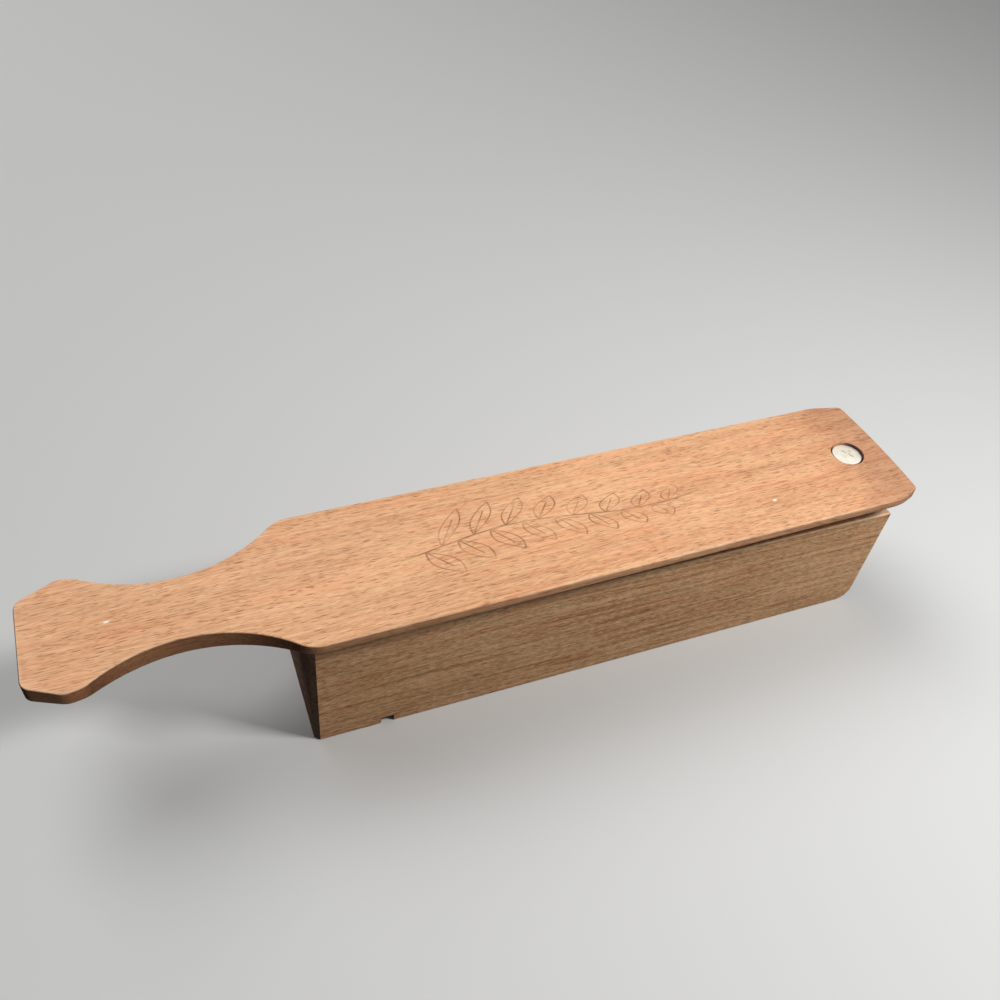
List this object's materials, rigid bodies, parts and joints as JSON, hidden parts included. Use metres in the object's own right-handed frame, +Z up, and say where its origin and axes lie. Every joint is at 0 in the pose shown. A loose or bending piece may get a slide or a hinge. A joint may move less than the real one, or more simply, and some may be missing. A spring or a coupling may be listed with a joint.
{
  "type": "bird call",
  "caption": "Wooden box call: a paddle lid with a handle swings on a sprung screw over an open, thin-sided sound box and strokes its lips to imitate a bird.",
  "frame": {"origin": "centre of the box's flat underside", "axes": "+X along the box from the handle end to the pivot end, +Y from the near side board to the far one, +Z up through the lid"},
  "size_m": [0.2845, 0.0508, 0.0573],
  "materials": {
    "lid_wood": "smooth, bare, fine dark pores along the grain",
    "box_wood": "smooth, bare, fine dark pores along the grain",
    "screw_steel": "bright plated",
    "spring_steel": "drawn wire",
    "washer_steel": "stamped"
  },
  "bodies": {
    "box": {"near_side_board": "box_wood", "far_side_board": "box_wood", "handle_end_block": "box_wood", "pivot_end_block": "box_wood", "bottom_board": "box_wood", "pivot_screw": "screw_steel"},
    "spring": {"lid_spring": "spring_steel"},
    "lid": {"lid": "lid_wood", "spring_washer": "washer_steel"}
  },
  "joints": [
    {"name": "lid_swing", "type": "hinge", "parent": "box", "child": "spring", "pos_m": [0.09415, 0, 0.0542], "axis": [0, 0, 1], "continuous": true},
    {"name": "lid_lift", "type": "hinge", "parent": "spring", "child": "lid", "pos_m": [0.08905, 0, 0.0542], "axis": [0, 1, 0], "range_deg": [0, 4], "stiffness_Nm_per_rad": 0.04, "springref_deg": -34.38, "deforming": ["lid_spring"]}
  ]
}
